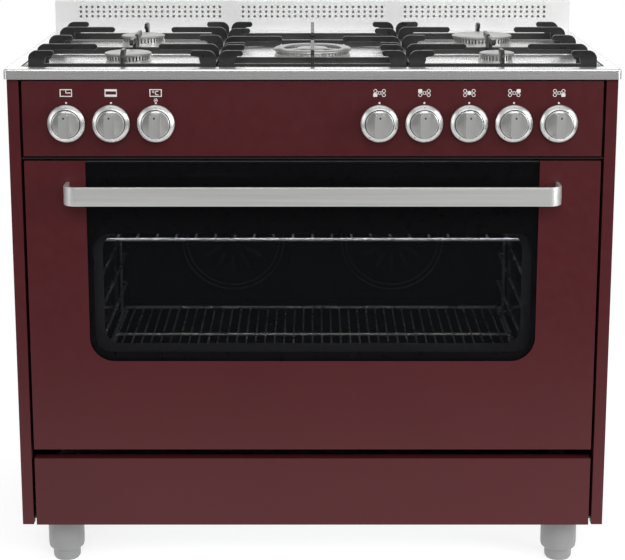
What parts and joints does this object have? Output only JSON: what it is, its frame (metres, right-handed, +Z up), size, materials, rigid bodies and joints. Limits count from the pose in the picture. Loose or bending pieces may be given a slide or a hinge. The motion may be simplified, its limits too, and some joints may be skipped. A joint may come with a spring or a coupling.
{
  "type": "freestanding gas range",
  "caption": "Freestanding range, a metre wide: gas hob with pan supports, control panel with knobs, electric oven with a drop-down window door, drawer and levelling feet.",
  "frame": {"origin": "on the floor, under the middle of the overall bounding box", "axes": "+X to the right seen from the front, +Y towards the wall, +Z up; the door faces -Y"},
  "size_m": [1, 0.644, 0.928],
  "materials": {
    "enamel_red": "semi-gloss bordeaux powder coat",
    "brushed_steel": "brushed stainless steel, fine straight grain",
    "hob_steel": "satin stainless steel",
    "galvanised": "galvanised sheet, dull grey",
    "cast_black": "matt black enamelled cast iron",
    "alloy": "die-cast aluminium, satin",
    "cap_enamel": "satin metal burner caps",
    "brass": "plain turned brass",
    "oven_enamel": "dark grey vitreous enamel",
    "frame_black": "matt black",
    "glass_black": "dark tempered glass with a black printed border",
    "glass_clear": "clear tempered glass",
    "door_lining": "grey enamelled sheet",
    "wool": "glass wool blanket",
    "seal": "black silicone seal",
    "chrome": "bright chromed wire",
    "element": "oxidised steel tube",
    "lamp_glass": "clear heat-proof glass",
    "ceramic": "white glazed ceramic",
    "switch_body": "natural phenolic",
    "black_plastic": "black moulded plastic",
    "foot_plastic": "pale grey moulded plastic",
    "knob_metal": "satin metal-coloured knob"
  },
  "bodies": {
    "cabinet": {"side_panel_left": "enamel_red", "side_panel_right": "enamel_red", "rear_panel": "galvanised", "base_tray": "galvanised", "feet": "foot_plastic", "hob_top": "hob_steel", "backsplash": "hob_steel", "control_panel": "enamel_red", "oven_front_frame": "frame_black", "oven_liner": "oven_enamel", "oven_insulation": "wool", "door_gasket": "seal", "shelf_rails": "chrome", "fan_covers": "oven_enamel", "fan_motors": "galvanised", "oven_elements": "element", "oven_lamp": "lamp_glass", "oven_switches": "switch_body", "gas_manifold": "galvanised", "gas_valves": "brass", "burner_pipes": "alloy", "burner_cups": "alloy", "burner_crowns": "alloy", "igniters": "ceramic", "power_inlet": "black_plastic", "drawer_rails": "galvanised", "screws": "brushed_steel"},
    "door": {"door_skin": "enamel_red", "door_outer_glass": "glass_black", "door_inner_panel": "door_lining", "door_inner_glass": "glass_clear", "door_handle": "brushed_steel", "door_hinges": "galvanised"},
    "drawer": {"drawer_front": "enamel_red", "drawer_box": "galvanised"},
    "upper_shelf": {"upper_shelf": "chrome"},
    "lower_shelf": {"lower_shelf": "chrome"},
    "fan_left": {"fan_left": "alloy"},
    "fan_right": {"fan_right": "alloy"},
    "cap_front_left": {"cap_front_left": "cap_enamel"},
    "cap_rear_left": {"cap_rear_left": "cap_enamel"},
    "cap_wok": {"cap_wok": "cap_enamel"},
    "cap_rear_right": {"cap_rear_right": "cap_enamel"},
    "cap_front_right": {"cap_front_right": "cap_enamel"},
    "pan_support_left": {"pan_support_left": "cast_black"},
    "pan_support_centre": {"pan_support_centre": "cast_black"},
    "pan_support_right": {"pan_support_right": "cast_black"},
    "spindle_front_left": {"spindle_front_left": "brass"},
    "spindle_rear_left": {"spindle_rear_left": "brass"},
    "spindle_wok": {"spindle_wok": "brass"},
    "spindle_rear_right": {"spindle_rear_right": "brass"},
    "spindle_front_right": {"spindle_front_right": "brass"},
    "knob_front_left": {"knob_front_left": "knob_metal"},
    "knob_rear_left": {"knob_rear_left": "knob_metal"},
    "knob_wok": {"knob_wok": "knob_metal"},
    "knob_rear_right": {"knob_rear_right": "knob_metal"},
    "knob_front_right": {"knob_front_right": "knob_metal"},
    "knob_timer": {"knob_timer": "knob_metal"},
    "knob_function": {"knob_function": "knob_metal"},
    "knob_thermostat": {"knob_thermostat": "knob_metal"}
  },
  "joints": [
    {"name": "door_hinge", "type": "hinge", "parent": "cabinet", "child": "door", "pos_m": [0, -0.254, 0.227], "axis": [1, 0, 0], "range_deg": [0, 90], "stiffness_Nm_per_rad": 6, "springref_deg": -28.65},
    {"name": "drawer_slide", "type": "slide", "parent": "cabinet", "child": "drawer", "axis": [0, -1, 0], "range_m": [0, 0.35]},
    {"name": "upper_shelf_play", "type": "slide", "parent": "cabinet", "child": "upper_shelf", "axis": [0, -1, 0], "range_m": [0, 0.015]},
    {"name": "lower_shelf_play", "type": "slide", "parent": "cabinet", "child": "lower_shelf", "axis": [0, -1, 0], "range_m": [0, 0.015]},
    {"name": "fan_left_spin", "type": "hinge", "parent": "cabinet", "child": "fan_left", "pos_m": [-0.152, 0.179, 0.483], "axis": [0, 1, 0], "continuous": true},
    {"name": "fan_right_spin", "type": "hinge", "parent": "cabinet", "child": "fan_right", "pos_m": [0.152, 0.179, 0.483], "axis": [0, 1, 0], "continuous": true},
    {"name": "cap_front_left_lift", "type": "slide", "parent": "cabinet", "child": "cap_front_left", "axis": [0, 0, 1], "range_m": [0, 0.05]},
    {"name": "cap_rear_left_lift", "type": "slide", "parent": "cabinet", "child": "cap_rear_left", "axis": [0, 0, 1], "range_m": [0, 0.05]},
    {"name": "cap_wok_lift", "type": "slide", "parent": "cabinet", "child": "cap_wok", "axis": [0, 0, 1], "range_m": [0, 0.004]},
    {"name": "cap_rear_right_lift", "type": "slide", "parent": "cabinet", "child": "cap_rear_right", "axis": [0, 0, 1], "range_m": [0, 0.05]},
    {"name": "cap_front_right_lift", "type": "slide", "parent": "cabinet", "child": "cap_front_right", "axis": [0, 0, 1], "range_m": [0, 0.05]},
    {"name": "pan_support_left_lift", "type": "slide", "parent": "cabinet", "child": "pan_support_left", "axis": [0, 0, 1], "range_m": [0, 0.12]},
    {"name": "pan_support_centre_lift", "type": "slide", "parent": "cabinet", "child": "pan_support_centre", "axis": [0, 0, 1], "range_m": [0, 0.12]},
    {"name": "pan_support_right_lift", "type": "slide", "parent": "cabinet", "child": "pan_support_right", "axis": [0, 0, 1], "range_m": [0, 0.12]},
    {"name": "knob_front_left_push", "type": "slide", "parent": "cabinet", "child": "spindle_front_left", "axis": [0, 1, 0], "range_m": [0, 0.0045], "stiffness_N_per_m": 1500, "springref_m": -0.002},
    {"name": "knob_front_left_turn", "type": "hinge", "parent": "spindle_front_left", "child": "knob_front_left", "pos_m": [0.1088, -0.2775, 0.781], "axis": [0, -1, 0], "range_deg": [0, 210]},
    {"name": "knob_rear_left_push", "type": "slide", "parent": "cabinet", "child": "spindle_rear_left", "axis": [0, 1, 0], "range_m": [0, 0.0045], "stiffness_N_per_m": 1500, "springref_m": -0.002},
    {"name": "knob_rear_left_turn", "type": "hinge", "parent": "spindle_rear_left", "child": "knob_rear_left", "pos_m": [0.1816, -0.2775, 0.781], "axis": [0, -1, 0], "range_deg": [0, 210]},
    {"name": "knob_wok_push", "type": "slide", "parent": "cabinet", "child": "spindle_wok", "axis": [0, 1, 0], "range_m": [0, 0.0045], "stiffness_N_per_m": 1500, "springref_m": -0.002},
    {"name": "knob_wok_turn", "type": "hinge", "parent": "spindle_wok", "child": "knob_wok", "pos_m": [0.2544, -0.2775, 0.781], "axis": [0, -1, 0], "range_deg": [0, 210]},
    {"name": "knob_rear_right_push", "type": "slide", "parent": "cabinet", "child": "spindle_rear_right", "axis": [0, 1, 0], "range_m": [0, 0.0045], "stiffness_N_per_m": 1500, "springref_m": -0.002},
    {"name": "knob_rear_right_turn", "type": "hinge", "parent": "spindle_rear_right", "child": "knob_rear_right", "pos_m": [0.3272, -0.2775, 0.781], "axis": [0, -1, 0], "range_deg": [0, 210]},
    {"name": "knob_front_right_push", "type": "slide", "parent": "cabinet", "child": "spindle_front_right", "axis": [0, 1, 0], "range_m": [0, 0.0045], "stiffness_N_per_m": 1500, "springref_m": -0.002},
    {"name": "knob_front_right_turn", "type": "hinge", "parent": "spindle_front_right", "child": "knob_front_right", "pos_m": [0.4, -0.2775, 0.781], "axis": [0, -1, 0], "range_deg": [0, 210]},
    {"name": "knob_timer_turn", "type": "hinge", "parent": "cabinet", "child": "knob_timer", "pos_m": [-0.4, -0.2775, 0.781], "axis": [0, 1, 0], "range_deg": [0, 300]},
    {"name": "knob_function_turn", "type": "hinge", "parent": "cabinet", "child": "knob_function", "pos_m": [-0.3272, -0.2775, 0.781], "axis": [0, 1, 0], "continuous": true},
    {"name": "knob_thermostat_turn", "type": "hinge", "parent": "cabinet", "child": "knob_thermostat", "pos_m": [-0.2544, -0.2775, 0.781], "axis": [0, 1, 0], "range_deg": [0, 270]}
  ]
}
